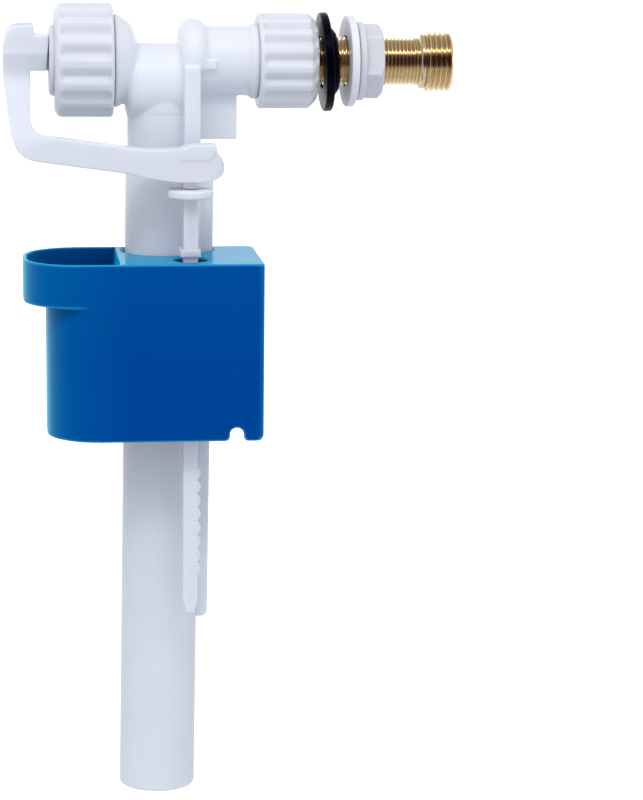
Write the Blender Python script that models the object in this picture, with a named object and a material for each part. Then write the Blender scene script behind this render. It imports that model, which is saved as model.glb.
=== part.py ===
"""Side-inlet toilet fill valve: diaphragm valve with a lever, a hanging float rod and a box float.

Frame: metres, +Z up, +X along the inlet towards the brass tail, -Y is the front. The origin is on
the inlet axis, above the down tube. Lengths below are in millimetres and are scaled by MM.
"""
import math

import bmesh
import bpy
from mathutils import Matrix, Vector

MM = 0.001
GAP = 0.3

# ---- driving dimensions, mm -------------------------------------------------------------------
# inlet threads: G3/8 along the tail, G1/2 on its end
R_FINE, R_COARSE = 8.33, 10.45
TAIL_FLANGE, TAIL_NECK, TAIL_STEP, TAIL_COLLAR, TAIL_END = 44.4, 50.0, 88.4, 90.0, 99.5
R_TAIL_BORE = 5.6
# body
R_SHANK, TUBE_X = 12.5, -0.9
R_BOSS, BOSS_END = 15.0, -30.6
NECK_Z, R_NECK = -8.5, 14.5
R_NOZZLE_BORE = 4.7
R_INLET, INLET_END = 12.0, 43.0
SHANK_END = -33.5
# nuts
RIBS = 15
CAP_L, CAP_R, R_CAP = -38.2, -18.2, 19.6
UNION_L, UNION_R, R_UNION = 31.95, 52.2, 16.45
# bonnet and lever
BONNET_L, R_HUB = -39.7, 12.1
PIVOT = (-47.3, 0.0, 6.2)
R_PIN = 1.4
# rod, thumbwheel
ROD_X, ROD_Y = 7.0, -25.0
ROD_W = 5.0
ROD_TOP, ROD_END = -45.0, -190.0
WHEEL_R, WHEEL_Z = 7.9, (-44.7, -41.6)
TEETH, TOOTH_PITCH, TOOTH_TOP = 8, 4.9, -137.8
# float
FLOAT_TOP, FLOAT_BOT = -66.2, -127.1
FLOAT_X = (-41.4, 31.5)
FLOAT_R, BAND_R = 18.0, 19.0
CUP_X, BAND_BOT, CUP_FLOOR = -49.3, -80.8, -100.0
FLOAT_Y = (-37.0, 8.5)
WALL = 1.4
DIVIDER = (-19.4, -16.1)
# down tube
R_TUBE, R_TUBE_IN, TUBE_END = 13.4, 11.6, -260.2
KEEL_X, KEEL_W, KEEL_END = 16.3, 4.4, -198.4
# seals and wall fixing
WASHER_X, WASHER_TILT, R_WASHER = 55.2, -3.0, 17.1
PLASTIC_X, PLASTIC_T, R_PLASTIC = 62.7, 2.75, 15.8
NUT_COLLAR, NUT_HEX, NUT_END = 66.6, 69.0, 75.2
HEX_R, HEX_TURN = 13.16, 42.9

for old in list(bpy.data.objects):
    bpy.data.objects.remove(old, do_unlink=True)

COLOURS = {
    "white_plastic": ((0.86, 0.88, 0.92, 1), 0.38, 0.0),
    "blue_plastic": ((0.0, 0.13, 0.42, 1), 0.22, 0.0),
    "black_rubber": ((0.015, 0.015, 0.022, 1), 0.45, 0.0),
    "brass": ((0.80, 0.56, 0.25, 1), 0.22, 1.0),
    "grey_plastic": ((0.55, 0.57, 0.60, 1), 0.45, 0.0),
    "steel": ((0.62, 0.62, 0.64, 1), 0.25, 1.0),
}


def material(name, kind):
    m = bpy.data.materials.new(name)
    m.use_nodes = True
    p = m.node_tree.nodes["Principled BSDF"]
    colour, rough, metal = COLOURS[kind]
    p.inputs["Base Color"].default_value = colour
    p.inputs["Roughness"].default_value = rough
    p.inputs["Metallic"].default_value = metal
    m.diffuse_color = colour
    return m


# ---- shape helpers: each returns a mesh object in mm, not yet finished ------------------------
def from_bmesh(bm, name="tmp"):
    bmesh.ops.recalc_face_normals(bm, faces=bm.faces)
    mesh = bpy.data.meshes.new(name)
    bm.to_mesh(mesh)
    bm.free()
    ob = bpy.data.objects.new(name, mesh)
    bpy.context.scene.collection.objects.link(ob)
    return ob


def axis_point(a, r, t, axis, centre):
    c, s = math.cos(t), math.sin(t)
    if axis == "X":
        p = (a, -r * c, r * s)
    elif axis == "Y":
        p = (r * c, a, r * s)
    else:
        p = (r * c, r * s, a)
    return Vector(p) + Vector(centre)


def turned(profile, n=40, axis="X", centre=(0, 0, 0), radius=None, phase=0.0):
    """Spins (a, r) pairs about an axis. A profile whose ends have r = 0 is capped at its poles;
    any other is a closed loop, which makes a ring. radius(i, r, angle) may shape each section.
    phase turns the facets, so that shapes joined on one axis don't share edges."""
    bm = bmesh.new()
    rings = []
    for i, (a, r) in enumerate(profile):
        if r == 0:
            rings.append([bm.verts.new(axis_point(a, 0, 0, axis, centre))])
            continue
        ring = []
        for k in range(n):
            t = 2 * math.pi * k / n + phase
            rr = radius(i, r, t) if radius else r
            ring.append(bm.verts.new(axis_point(a, rr, t, axis, centre)))
        rings.append(ring)
    pairs = list(zip(rings, rings[1:]))
    if len(rings[0]) > 1:
        pairs.append((rings[-1], rings[0]))
    for one, two in pairs:
        for k in range(n):
            j = (k + 1) % n
            if len(one) == 1 and len(two) == 1:
                continue
            if len(one) == 1:
                bm.faces.new((one[0], two[k], two[j]))
            elif len(two) == 1:
                bm.faces.new((one[k], two[0], one[j]))
            else:
                bm.faces.new((one[k], two[k], two[j], one[j]))
    return from_bmesh(bm)


def rod_shape(a0, a1, r, n=32, axis="X", centre=(0, 0, 0), phase=0.03):
    return turned([(a0, 0), (a0, r), (a1, r), (a1, 0)], n, axis, centre, phase=phase)


def prism(outline, lo, hi, axis="Y"):
    """Extrudes a closed outline: (x, z) pairs along Y, or (x, y) pairs along Z."""
    bm = bmesh.new()
    ends = []
    for h in (lo, hi):
        if axis == "Y":
            ends.append([bm.verts.new((x, h, z)) for x, z in outline])
        elif axis == "Z":
            ends.append([bm.verts.new((x, y, h)) for x, y in outline])
        else:
            ends.append([bm.verts.new((h, x, y)) for x, y in outline])
    bm.faces.new(ends[0])
    bm.faces.new(ends[1])
    n = len(outline)
    for k in range(n):
        j = (k + 1) % n
        bm.faces.new((ends[0][k], ends[0][j], ends[1][j], ends[1][k]))
    return from_bmesh(bm)


def box(x0, x1, y0, y1, z0, z1):
    return prism([(x0, z0), (x1, z0), (x1, z1), (x0, z1)], y0, y1)


def strip(stations):
    """A bar through four-cornered stations: (outer x, z), (inner x, z), front y, back y."""
    bm = bmesh.new()
    rings = []
    for (ox, oz), (ix, iz), yf, yb in stations:
        rings.append([bm.verts.new(p) for p in ((ox, yf, oz), (ix, yf, iz), (ix, yb, iz), (ox, yb, oz))])
    bm.faces.new(rings[0])
    bm.faces.new(rings[-1])
    for one, two in zip(rings, rings[1:]):
        for k in range(4):
            j = (k + 1) % 4
            bm.faces.new((one[k], one[j], two[j], two[k]))
    return from_bmesh(bm)


def combine(ob, other, how):
    mod = ob.modifiers.new(how, "BOOLEAN")
    mod.operation = how
    mod.object = other
    mod.solver = "EXACT"
    bpy.context.view_layer.update()
    graph = bpy.context.evaluated_depsgraph_get()
    mesh = bpy.data.meshes.new_from_object(ob.evaluated_get(graph))
    ob.modifiers.clear()
    ob.data = mesh
    bpy.data.objects.remove(other, do_unlink=True)
    return ob


def union(ob, *others):
    for o in others:
        combine(ob, o, "UNION")
    return ob


def cut(ob, *others):
    for o in others:
        combine(ob, o, "DIFFERENCE")
    return ob


def rounded(points, radii, steps=4):
    """Rounds the corners of a polygon by arcs of the given radii (0 keeps the corner)."""
    out = []
    n = len(points)
    for i, (p, r) in enumerate(zip(points, radii)):
        p = Vector(p)
        a = (Vector(points[i - 1]) - p)
        b = (Vector(points[(i + 1) % n]) - p)
        if r <= 0:
            out.append((p.x, p.y))
            continue
        ang = a.angle(b)
        d = r / math.tan(ang / 2)
        u, v = a.normalized(), b.normalized()
        centre = p + (u + v).normalized() * (r / math.sin(ang / 2))
        s, e = p + u * d - centre, p + v * d - centre
        sweep = s.angle_signed(e)
        base = math.atan2(s.y, s.x)
        for k in range(steps + 1):
            t = base - sweep * k / steps
            out.append((centre.x + r * math.cos(t), centre.y + r * math.sin(t)))
    return out


def finish(ob, name, kind, origin=(0, 0, 0), parent=None, angle=35):
    """Names the piece, scales it to metres and puts its origin at its joint or centre."""
    ob.name = name
    ob.data.name = name
    o = Vector(origin)
    ob.data.transform(Matrix.Scale(MM, 4) @ Matrix.Translation(-o))
    ob.data.materials.clear()
    ob.data.materials.append(material(name, kind))
    ob.data.shade_smooth()
    ob.data.set_sharp_from_angle(angle=math.radians(angle))
    ob.location = o * MM
    if parent:
        ob.parent = parent
        ob.matrix_parent_inverse = parent.matrix_world.inverted()
    return ob


def joint_empty(name, at):
    e = bpy.data.objects.new(name, None)
    e.empty_display_size = 0.01
    e.location = Vector(at) * MM
    bpy.context.scene.collection.objects.link(e)
    bpy.context.view_layer.update()
    return e


# ---- valve body ---------------------------------------------------------------------------------
def valve_body():
    # threaded boss, which rounds over into the neck
    ob = turned([(BOSS_END, 0), (BOSS_END, R_BOSS), (-15.0, R_BOSS - 0.1), (-12.6, 13.8),
                 (-11.1, 10.9), (-10.1, 7.6), (-9.2, 5.6), (-2.2, 5.0), (-2.2, 0)], 40)
    neck = turned([(-13.9, 0), (-13.9, 9.5), (-13.2, 12.0), (-11.8, 13.7), (-9.6, R_NECK), (9.0, R_NECK),
                   (9.0, 0)], 40, "X", (0, 0, NECK_Z), phase=0.021)
    shank = rod_shape(SHANK_END, NECK_Z, R_SHANK, 40, "Z", (TUBE_X, 0, 0), 0.043)
    inlet = turned([(5.2, 0), (5.2, R_INLET), (29.2, R_INLET), (29.4, 13.2), (31.6, 13.2),
                    (31.8, R_INLET), (INLET_END, R_INLET), (INLET_END, 0)], 40, phase=0.065)
    # rounded bead over the top and front of the inlet, in line with the rib below it
    bead = turned([(4.75, 0), (4.75, 11.2), (5.4, 13.0), (6.9, 14.2), (9.4, 14.7), (11.9, 14.2),
                   (13.4, 13.0), (14.05, 11.2), (14.05, 0)], 36, phase=0.09)
    cut(bead, box(0, 20, -20, 20, -20, -2.6))
    # vertical rib that stands proud of the shank's front
    band = prism(rounded([(6.3, -16.2), (11.6, -16.2), (11.6, 0.0), (6.3, 0.0)], [0.8, 0.8, 0, 0], 2),
                 -30.0, -0.9, "Z")
    tab = box(12.4, 17.0, -13.4, -8.0, -2.0, 1.3)
    plate = box(8.6, 24.7, -3.2, 3.2, -26.9, -10.3)
    union(ob, neck, shank, inlet, bead, band, tab, plate)
    # water ways: nozzle bore, inlet bore, chamber round the nozzle, duct down, shank bore
    cut(ob,
        rod_shape(-17.0, 7.2, R_NOZZLE_BORE, 24, phase=0.11),
        rod_shape(6.6, INLET_END + 2, 6.0, 24, phase=0.13),
        rod_shape(BOSS_END - 2, -15.6, 12.2, 32, phase=0.037),
        box(-17.5, -5.5, -6.5, 6.5, -11.4, -8.8),
        rod_shape(SHANK_END - 2, -8.6, 10.5, 32, "Z", (TUBE_X, 0, 0), 0.071),
        rod_shape(30.0, INLET_END + 2, 8.4, 32, phase=0.053))
    return finish(ob, "valve_body", "white_plastic")


def inlet_nozzle():
    return finish(turned([(-28.6, 3.9), (-28.0, 4.4), (6.0, 4.4), (6.0, 3.0), (-28.6, 3.0)], 28),
                  "inlet_nozzle", "white_plastic")


# ---- ribbed nuts --------------------------------------------------------------------------------
def rib_radius(depth_of, phase, depth=1.15):
    """Radius with RIBS narrow round-bottomed grooves; phase is a groove's angle in degrees."""
    def radius(i, r, t):
        d = depth_of[i]
        if not d:
            return r
        a = (math.degrees(t) - phase) * RIBS / 360.0
        f = abs(a - round(a)) * 2  # 0 at a groove, 1 on the crest
        return r - depth * d * max(0.0, 1 - (f / 0.5) ** 2) if f < 0.5 else r
    return radius


def cap_nut():
    prof = [(-38.2, 12.6), (-38.2, 17.2), (-36.1, R_CAP - 0.1), (-35.4, R_CAP), (-18.9, R_CAP),
            (-18.2, R_CAP - 0.8), (-18.2, 15.3), (-35.0, 15.3), (-35.0, 12.6)]
    ob = turned(prof, RIBS * 6, radius=rib_radius([0, 0, 0.4, 1, 1, 0, 0, 0, 0], 11.5))
    return finish(ob, "cap_nut", "white_plastic", (-28, 0, 0))


def union_nut():
    prof = [(31.95, 12.3), (31.95, R_UNION - 0.5), (32.5, R_UNION), (33.6, R_UNION),
            (49.6, R_UNION), (52.2, 13.8), (52.2, 9.4), (46.8, 9.4), (46.8, 12.3)]
    ob = turned(prof, RIBS * 6, radius=rib_radius([0, 0, 0, 1, 1, 0.25, 0, 0, 0], 4.5, 0.95))
    return finish(ob, "union_nut", "white_plastic", (40, 0, 0))


# ---- diaphragm and bonnet -----------------------------------------------------------------------
def diaphragm():
    return finish(turned([(-31.6, 3.0), (-31.6, 14.8), (-30.9, 14.8), (-30.9, 3.0)], 36),
                  "diaphragm", "black_rubber", (-31.2, 0, 0))


def diaphragm_plate():
    ob = turned([(-34.4, 0), (-34.4, 5.6), (-33.1, 5.6), (-33.1, 2.5), (-30.6, 2.5), (-30.6, 5.0),
                 (-29.9, 5.0), (-29.9, 1.2), (-27.0, 0.6), (-27.0, 0)], 24)
    return finish(ob, "diaphragm_plate", "grey_plastic", (-31.2, 0, 0))


def bonnet():
    ob = turned([(BONNET_L - 0.4, 0), (BONNET_L - 0.4, 11.2), (BONNET_L + 0.4, R_HUB), (-34.7, R_HUB),
                 (-34.7, 14.8), (-31.9, 14.8), (-31.9, 0)], 40)
    tongue = box(-50.6, BONNET_L + 1, -5.2, 5.2, -3.1, 8.8)
    union(ob, tongue)
    cut(ob,
        rod_shape(-37.2, -31.0, 9.6, 32),
        rod_shape(-47.0, -36.0, 1.0, 16),
        rod_shape(-52.0, -46.2, 1.9, 20),
        rod_shape(-8, 8, R_PIN + GAP, 20, "Y", (PIVOT[0], 0, PIVOT[2])))
    return finish(ob, "bonnet", "white_plastic", (BONNET_L, 0, 0))


def pilot_jet():
    return finish(turned([(-50.9, 0.5), (-50.9, 0.9), (-50.2, 1.6), (-46.5, 1.6), (-46.5, 0.5)], 20),
                  "pilot_jet", "brass", (-48.5, 0, 0))


# ---- lever --------------------------------------------------------------------------------------
LEVER_PATH = [  # outer (x, z), inner (x, z), front y, back y
    ((-55.7, 3.0), (-46.2, -2.0), -9.5, 9.0),
    ((-55.7, -3.6), (-46.5, -3.8), -8.3, 8.8),
    ((-55.6, -7.4), (-46.6, -7.4), -9.2, 5.0),
    ((-55.5, -8.6), (-46.6, -8.6), -11.2, 4.0),
    ((-55.0, -13.0), (-46.7, -13.0), -16.0, -2.0),
    ((-54.2, -18.0), (-46.7, -17.6), -21.0, -9.0),
    ((-53.5, -23.0), (-46.3, -20.4), -25.0, -15.0),
    ((-52.5, -27.2), (-45.2, -22.2), -27.6, -19.0),
    ((-51.0, -30.0), (-44.0, -23.1), -28.6, -20.6),
    ((-48.7, -31.5), (-42.4, -23.5), -29.0, -21.0),
    ((-32.0, -33.8), (-31.5, -25.0), -29.0, -21.0),
    ((-14.7, -36.1), (-14.3, -27.3), -29.0, -21.0),
    ((-9.3, -37.4), (-7.0, -28.0), -29.2, -20.8),
    ((-1.0, -38.8), (-1.0, -27.9), -29.4, -20.6),
    ((4.0, -39.0), (4.0, -27.7), -29.5, -20.5),
    ((11.5, -38.9), (11.5, -27.4), -29.5, -20.5),
    ((15.0, -38.2), (15.1, -29.0), -29.3, -20.7),
    ((17.2, -37.0), (17.2, -31.0), -28.6, -21.4),
    ((18.2, -35.4), (18.2, -32.6), -27.6, -22.4),
]
LEVER_HEAD = [(-55.7, 2.0), (-55.5, 5.4), (-54.9, 9.0), (-53.4, 11.4), (-51.0, 12.2), (-45.3, 12.5),
              (-45.3, 8.7), (-40.5, 8.7), (-40.5, 4.0), (-41.2, -2.5), (-41.9, -3.1), (-46.4, -3.1),
              (-55.7, -3.1)]


def lever(parent):
    ob = prism(LEVER_HEAD, -9.8, 9.2)
    union(ob, strip(LEVER_PATH))
    cut(ob,
        box(-52.7, -38.0, -5.7, 5.7, -5.4, 17.0),
        rod_shape(-8.4, 8.4, R_PIN + GAP, 20, "Y", (PIVOT[0], 0, PIVOT[2])),
        # blind slot under the paddle for the rod's head
        box(ROD_X - 6.3, ROD_X + 3.2, -27.9, -22.1, -42.0, -33.2))
    return finish(ob, "lever", "white_plastic", PIVOT, parent)


def lever_pin():
    return finish(rod_shape(-8.1, 8.1, R_PIN, 20, "Y", (PIVOT[0], 0, PIVOT[2])),
                  "lever_pin", "steel", PIVOT)


def pilot_pad(parent):
    return finish(rod_shape(-52.4, -51.38, 2.4, 20), "pilot_pad", "black_rubber", (-52, 0, 0), parent)


# ---- rod and its adjuster -----------------------------------------------------------------------
def rod_head(parent):
    x, y = ROD_X, ROD_Y
    ob = box(x - 2.7, x + 2.7, y - 2.5, y + 2.5, WHEEL_Z[1] + GAP, -33.6)
    union(ob, rod_shape(-54.0, -41.0, 1.4, 16, "Z", (x, y, 0)))
    return finish(ob, "rod_head", "white_plastic", (x, y, -38), parent)


def thumbwheel(parent):
    lo, hi = WHEEL_Z
    r = WHEEL_R
    ob = turned([(lo, 1.7), (lo, r - 0.8), (lo + 0.5, r - 0.2), (lo + 1.0, r), (hi - 1.0, r),
                 (hi - 0.5, r - 0.2), (hi, r - 0.8), (hi, 1.7)], 28, "Z", (ROD_X, ROD_Y, 0))
    return finish(ob, "thumbwheel", "white_plastic", (ROD_X, ROD_Y, -43.2), parent)


def float_rod(parent):
    x, y, h = ROD_X, ROD_Y, ROD_W / 2
    ob = box(x - h, x + h, y - h, y + h, -186.0, ROD_TOP)
    # row of round-tipped teeth low down on the right
    pts = [(x + 1.0, TOOTH_TOP)]
    for k in range(TEETH):
        z = TOOTH_TOP - k * TOOTH_PITCH
        pts += [(x + 2.3, z), (x + 3.2, z - 1.1), (x + 3.6, z - 2.4), (x + 3.2, z - 3.8)]
    z = TOOTH_TOP - TEETH * TOOTH_PITCH
    pts += [(x + 2.3, z), (x + 1.0, z - 0.6)]
    fin = prism(pts, y - 1.8, y + 1.8)
    toe = prism([(x - h, -185.0), (x + h, -185.0), (x + 1.6, ROD_END), (x - 1.4, ROD_END)], y - h, y + h)
    union(ob, fin, toe)
    cut(ob, rod_shape(-57.0, ROD_TOP + 2, 1.75, 16, "Z", (x, y, 0)))
    return finish(ob, "float_rod", "white_plastic", (x, y, -60), parent)


def float_latch(parent):
    """C-shaped clip on the rod, open to the right."""
    x, y, h = ROD_X, ROD_Y, ROD_W / 2 + GAP
    outer = prism([(x - h - 0.9, y - h - 0.9), (x + h + 0.5, y - h - 0.9), (x + h + 0.5, y + h + 0.9),
                   (x - h - 0.9, y + h + 0.9)], -64.6, -61.6, "Z")
    inner = prism([(x - h, y - h), (x + h, y - h), (x + h, y - 1.2), (x + h + 3, y - 1.2),
                   (x + h + 3, y + 1.2), (x + h, y + 1.2), (x + h, y + h), (x - h, y + h)],
                  -66.0, -60.0, "Z")
    cut(outer, inner)
    return finish(outer, "float_latch", "white_plastic", (x, y, -63), parent)


# ---- float --------------------------------------------------------------------------------------
def float_outline(x0, x1, y0, y1, inset, left_r, right_r, steps):
    a, b, c, d = x0 + inset, x1 - inset, y0 + inset, y1 - inset
    left = max(left_r - inset, 0.3)
    right = max(right_r - inset, 0.3)
    return rounded([(a, c), (b, c), (b, d), (a, d)], [left, right, right, left], steps)


def float_shell(parent):
    x0, x1 = FLOAT_X
    y0, y1 = FLOAT_Y
    ob = prism(float_outline(x0, x1, y0, y1, 0, FLOAT_R, 2.0, 8), FLOAT_BOT, FLOAT_TOP - 2, "Z")
    band = prism(float_outline(CUP_X, x1 - 0.05, y0 + 0.02, y1 - 0.02, 0, BAND_R, 2.0, 10), BAND_BOT, FLOAT_TOP, "Z")
    union(ob, band)
    # where the down tube and its keel run up the back
    slot = rod_shape(FLOAT_BOT - 3, FLOAT_TOP + 3, R_TUBE + 0.8, 36, "Z", (TUBE_X, 0, 0))
    union(slot, box(TUBE_X, KEEL_X + 0.8, -KEEL_W / 2 - 0.8, KEEL_W / 2 + 0.8, FLOAT_BOT - 3, FLOAT_TOP + 3))
    # the same column, one wall larger, kept out of the air chamber
    keep = rod_shape(FLOAT_BOT - 9, FLOAT_TOP + 9, R_TUBE + 0.8 + WALL, 36, "Z", (TUBE_X, 0, 0))
    union(keep, box(TUBE_X, KEEL_X + 0.8 + WALL, -KEEL_W / 2 - 0.8 - WALL, KEEL_W / 2 + 0.8 + WALL,
                    FLOAT_BOT - 9, FLOAT_TOP + 9))
    back = prism([(-14.0, 6.0), (13.0, 6.0), (13.0, 20.0), (-14.0, 20.0)], FLOAT_BOT - 8, FLOAT_TOP + 8, "Z")
    union(keep, back)
    chamber = prism(float_outline(x0, x1, y0, y1, WALL, FLOAT_R, 2.0, 8), FLOAT_BOT - 2, FLOAT_TOP - WALL, "Z")
    cut(chamber, box(x0 - 5, DIVIDER[1] + 0.01, y0 - 5, y1 + 5, CUP_FLOOR - WALL, FLOAT_TOP + 5), keep)
    # the water cup at the left, deep inside the body and shallow where it overhangs
    cup = prism(float_outline(x0, x1, y0, y1, WALL, FLOAT_R, 2.0, 8), CUP_FLOOR, FLOAT_TOP - 3, "Z")
    brim = prism(float_outline(CUP_X, x1, y0, y1, WALL, BAND_R, 2.0, 10), BAND_BOT + WALL, FLOAT_TOP + 3, "Z")
    union(cup, brim)
    cut(cup, box(DIVIDER[0], x1 + 5, y0 - 5, y1 + 5, CUP_FLOOR - 5, FLOAT_TOP + 9))
    hole = rod_shape(FLOAT_TOP - 6, FLOAT_TOP + 4, 6.0, 28, "Z", (ROD_X, ROD_Y, 0))
    arch = prism([(19.9, FLOAT_BOT - 2), (24.5, FLOAT_BOT - 2), (24.5, -124.2), (23.9, -123.0),
                  (22.2, -122.5), (20.5, -123.0), (19.9, -124.2)], y0 - 2, y0 + 3)
    cut(ob, slot, chamber, cup, hole, arch)
    return finish(ob, "float_shell", "blue_plastic", (ROD_X, ROD_Y, FLOAT_TOP), parent)


# ---- down tube ----------------------------------------------------------------------------------
def down_tube():
    c = (TUBE_X, 0, 0)
    top = SHANK_END - 1.9
    ob = turned([(TUBE_END, R_TUBE_IN), (TUBE_END, R_TUBE), (top, R_TUBE), (top, 10.2), (-24.0, 10.2),
                 (-24.0, 9.0), (top - 3, 9.0), (top - 6, R_TUBE_IN)], 40, "Z", c)
    keel = prism([(TUBE_X + 12.4, top - 1.0), (KEEL_X, top - 1.0), (KEEL_X, KEEL_END + 1.6),
                  (KEEL_X - 0.5, KEEL_END + 0.5), (KEEL_X - 1.6, KEEL_END), (TUBE_X + 12.4, KEEL_END)],
                 -KEEL_W / 2, KEEL_W / 2)
    union(ob, keel)
    return finish(ob, "down_tube", "white_plastic", (TUBE_X, 0, top))


def tube_seal():
    z = SHANK_END
    return finish(turned([(z - 1.6, 10.6), (z - 1.6, 12.2), (z - 0.3, 12.2), (z - 0.3, 10.6)], 32, "Z",
                         (TUBE_X, 0, 0)), "tube_seal", "black_rubber", (TUBE_X, 0, z - 1))


def flow_silencer():
    """Short ring with crossed vanes that calms the water inside the tube."""
    ob = turned([(-66.0, 9.9), (-66.0, 11.2), (-52.0, 11.2), (-52.0, 9.9)], 32, "Z", (TUBE_X, 0, 0))
    vane = box(TUBE_X - 10.4, TUBE_X + 10.4, -0.6, 0.6, -65.0, -53.0)
    union(vane, box(TUBE_X - 0.6, TUBE_X + 0.6, -10.4, 10.4, -65.0, -53.0))
    union(ob, vane)
    return finish(ob, "flow_silencer", "grey_plastic", (TUBE_X, 0, -59))


# ---- inlet tail and its fittings ----------------------------------------------------------------
def tail_gasket():
    return finish(turned([(43.3, 6.2), (43.3, 11.2), (44.1, 11.2), (44.1, 6.2)], 32),
                  "tail_gasket", "black_rubber", (43.7, 0, 0))


def brass_tail():
    b = R_TAIL_BORE
    prof = [(TAIL_FLANGE, b), (TAIL_FLANGE, 11.4), (46.5, 11.4), (46.5, 9.0), (TAIL_NECK, 9.0),
            (TAIL_NECK + 0.4, R_FINE), (TAIL_STEP - 1.2, R_FINE), (TAIL_STEP, 9.5), (TAIL_COLLAR, 9.5),
            (TAIL_COLLAR + 0.6, R_COARSE), (TAIL_END - 0.8, R_COARSE), (TAIL_END, R_COARSE - 0.8),
            (TAIL_END, b + 0.8), (TAIL_END - 0.8, b)]
    return finish(turned(prof, 32), "brass_tail", "brass", (TAIL_END, 0, 0))


def inlet_filter():
    cup = turned([(46.0, 0), (46.0, 5.3), (47.2, 5.3), (47.2, 4.8), (63.0, 4.4), (63.0, 0)], 24)
    cut(cup, turned([(44.0, 0), (44.0, 4.1), (62.0, 3.6), (62.0, 0)], 24))
    return finish(cup, "inlet_filter", "grey_plastic", (54, 0, 0))


def flow_restrictor():
    return finish(turned([(66.0, 1.8), (66.0, 5.3), (69.0, 5.3), (69.0, 2.4)], 24),
                  "flow_restrictor", "grey_plastic", (67.5, 0, 0))


def rubber_washer():
    ob = turned([(-1.2, 8.9), (-1.2, R_WASHER - 0.4), (-0.8, R_WASHER), (0.8, R_WASHER),
                 (1.2, R_WASHER - 0.4), (1.3, 11.6), (3.6, 11.2), (4.8, 10.0), (4.8, 8.9)], 36)
    ob = finish(ob, "rubber_washer", "black_rubber")
    ob.location = Vector((WASHER_X, 0, -0.35)) * MM
    ob.rotation_euler = (0, math.radians(WASHER_TILT), 0)
    return ob


def plastic_washer():
    x, t = PLASTIC_X, PLASTIC_T
    ob = turned([(x, 8.8), (x, R_PLASTIC - 0.3), (x + 0.3, R_PLASTIC), (x + t - 0.3, R_PLASTIC),
                 (x + t, R_PLASTIC - 0.3), (x + t, 8.8)], 36)
    return finish(ob, "plastic_washer", "white_plastic", (x, 0, 0))


def backnut(parent):
    ob = turned([(NUT_COLLAR, 8.65), (NUT_COLLAR, 13.3), (NUT_COLLAR + 0.4, 13.7), (NUT_HEX - 0.6, 13.7),
                 (NUT_HEX + 0.3, 12.0), (NUT_HEX + 0.3, 8.65)], 36)
    pts = []
    for k in range(6):
        t = math.radians(HEX_TURN + 60 * k)
        pts.append((-HEX_R * math.cos(t), HEX_R * math.sin(t)))
    hexagon = prism(pts, NUT_HEX, NUT_END, "X")
    # the chamfer: what is left inside a cone
    cone = turned([(NUT_HEX - 1, 0), (NUT_HEX - 1, 14.5), (NUT_END - 1.6, 13.4), (NUT_END, 11.6),
                   (NUT_END, 0)], 36, phase=0.04)
    combine(hexagon, cone, "INTERSECT")
    cut(hexagon, rod_shape(NUT_HEX - 2, NUT_END + 2, 8.65, 36, phase=0.0))
    union(ob, hexagon)
    return finish(ob, "backnut", "white_plastic", (NUT_HEX, 0, 0), parent)


def build():
    valve_body()
    inlet_nozzle()
    cap_nut()
    union_nut()
    diaphragm()
    diaphragm_plate()
    bonnet()
    pilot_jet()
    lever_pin()
    pivot = joint_empty("lever_pivot_axis", PIVOT)
    lever(pivot)
    pilot_pad(pivot)
    lift = joint_empty("float_lift_axis", (ROD_X, ROD_Y, -38))
    rod_head(lift)
    thumbwheel(lift)
    float_rod(lift)
    level = joint_empty("level_adjust_axis", (ROD_X, ROD_Y, FLOAT_TOP))
    float_shell(level)
    float_latch(level)
    down_tube()
    tube_seal()
    flow_silencer()
    tail_gasket()
    brass_tail()
    inlet_filter()
    flow_restrictor()
    rubber_washer()
    plastic_washer()
    fixing = joint_empty("backnut_axis", (NUT_HEX, 0, 0))
    backnut(fixing)


build()
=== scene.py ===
import math

import bmesh
import bpy
from mathutils import Matrix, Vector


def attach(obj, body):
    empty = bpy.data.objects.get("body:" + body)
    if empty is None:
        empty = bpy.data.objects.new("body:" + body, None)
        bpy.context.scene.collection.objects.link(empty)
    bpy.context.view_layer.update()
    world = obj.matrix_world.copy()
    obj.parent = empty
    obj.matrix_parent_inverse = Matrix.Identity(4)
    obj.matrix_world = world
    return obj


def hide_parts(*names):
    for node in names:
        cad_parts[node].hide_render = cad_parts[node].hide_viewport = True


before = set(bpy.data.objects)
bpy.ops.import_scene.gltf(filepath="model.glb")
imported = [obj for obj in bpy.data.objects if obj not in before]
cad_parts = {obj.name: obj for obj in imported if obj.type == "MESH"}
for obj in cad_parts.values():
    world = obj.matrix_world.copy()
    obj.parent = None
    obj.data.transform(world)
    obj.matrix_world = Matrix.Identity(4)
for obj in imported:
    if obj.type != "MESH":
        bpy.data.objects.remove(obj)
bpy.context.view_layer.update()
MM = 0.001

# ================================================================ camera
F_PX, W_PX, H_PX = 2700.0, 643, 800
YAW, PITCH, ROLL = math.radians(7.2), math.radians(11.2), math.radians(0.65)
ANCHOR = (165.0, 60.5)          # where the frame's origin falls in the picture
PX_PER_MM = 2.894


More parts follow.
